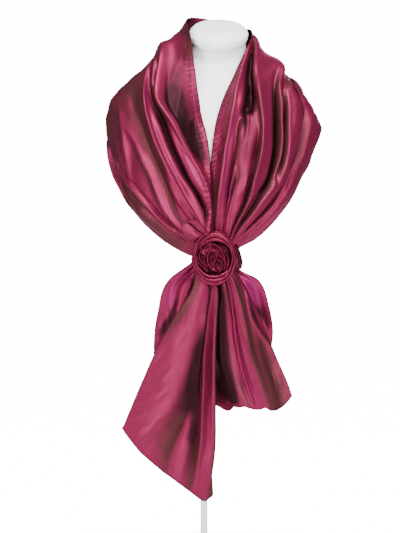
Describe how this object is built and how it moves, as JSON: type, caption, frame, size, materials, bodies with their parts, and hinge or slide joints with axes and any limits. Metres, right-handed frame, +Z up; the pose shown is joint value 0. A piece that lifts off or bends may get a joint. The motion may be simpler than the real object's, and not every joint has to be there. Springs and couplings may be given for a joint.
{
  "type": "evening stole on a dress form",
  "caption": "Wide shot-taffeta stole draped round a neck form, gathered by a cloth rose, with one long and one short hanging end.",
  "frame": {"origin": "middle of the stand's underside, on the floor and on the pole's axis", "axes": "+Z up along the pole; +X to the viewer's right; +Y away from the viewer, so the rose faces -Y"},
  "size_m": [0.428, 0.3288, 1.0761],
  "materials": {
    "taffeta": "lustrous shot taffeta, magenta over dark brown",
    "rose_taffeta": "lustrous shot taffeta, crimson and magenta",
    "form_white": "smooth off-white",
    "stand_white": "satin white paint"
  },
  "bodies": {
    "root": {"shoulder_drape": "taffeta", "long_end": "taffeta", "short_end": "taffeta", "rose_band": "rose_taffeta", "rose_petal_outer": "rose_taffeta", "rose_petal_top": "rose_taffeta", "rose_petal_lip": "rose_taffeta", "rose_petal_inner": "rose_taffeta", "rose_heart": "rose_taffeta", "rose_leaf": "rose_taffeta", "bust_form": "form_white", "neck_cap": "form_white", "stand_pole": "stand_white", "stand_base": "stand_white"}
  },
  "joints": []
}
